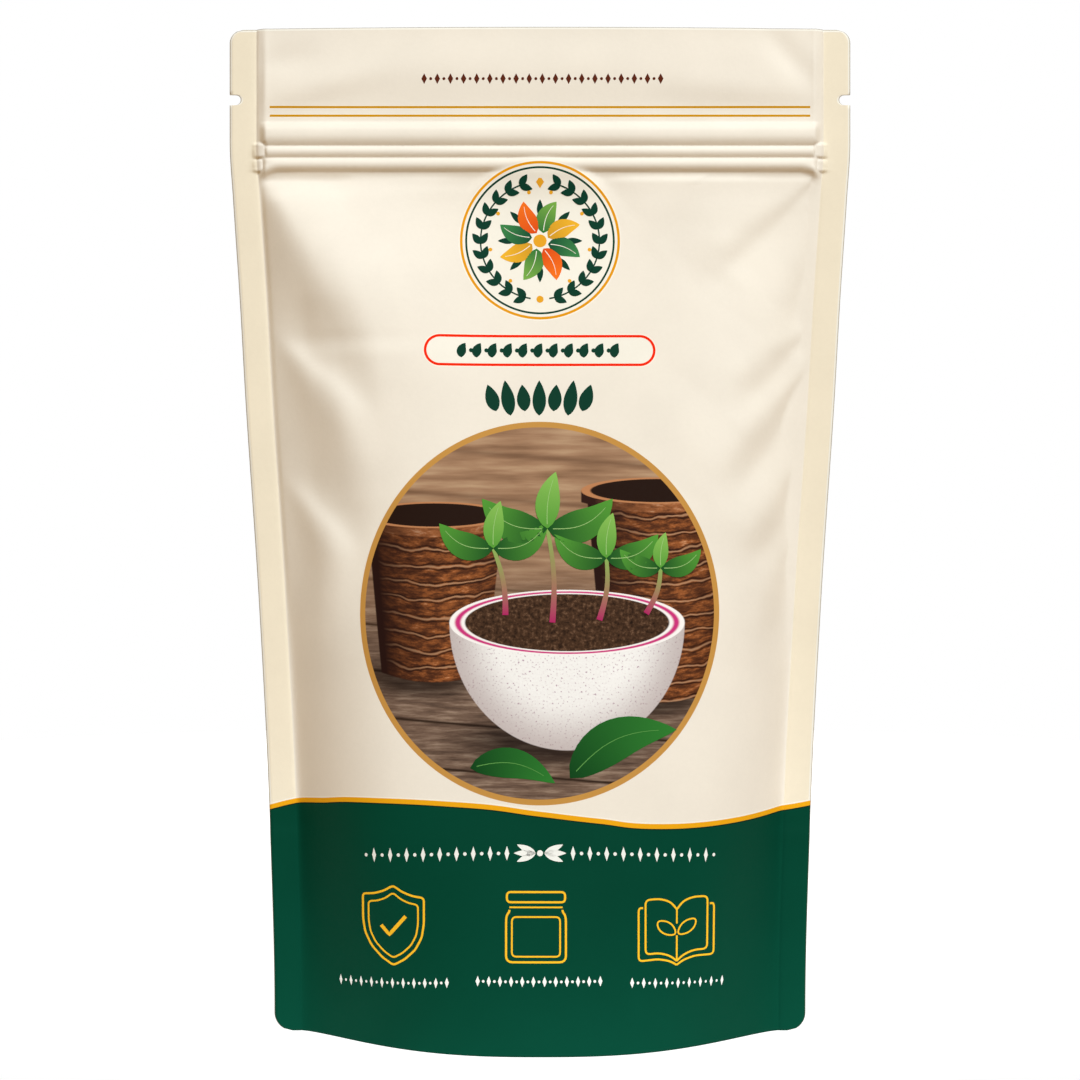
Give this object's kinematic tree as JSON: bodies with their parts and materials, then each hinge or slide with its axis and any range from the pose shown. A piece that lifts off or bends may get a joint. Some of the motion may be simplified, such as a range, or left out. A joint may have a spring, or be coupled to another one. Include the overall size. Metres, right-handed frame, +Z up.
{
  "type": "stand-up resealable seed pouch",
  "caption": "Stand-up seed pouch, closed and filled: two film panels sealed down both sides, an opened base gusset, tear notches and a press-to-close zip across the neck",
  "frame": {"origin": "centre of the footprint, on the surface the pouch stands on", "axes": "+Z up to the mouth, the front panel faces -Y, +X across the pouch to the right of its front"},
  "size_m": [0.13, 0.0574, 0.21],
  "materials": {
    "front_film": "matte printed laminate, cream with a dark green lower band and gold lines",
    "back_film": "matte printed laminate, cream with a dark green lower band",
    "gusset_film": "matte printed laminate, dark green outside and cream inside",
    "zip_plastic": "translucent white polyethylene",
    "seeds": "dry brown seeds, loosely heaped"
  },
  "bodies": {
    "root": {"front_panel": "front_film", "back_panel": "back_film", "bottom_gusset": "gusset_film", "zip_rib_strip": "zip_plastic", "zip_groove_strip": "zip_plastic", "seed_fill": "seeds"}
  },
  "joints": []
}
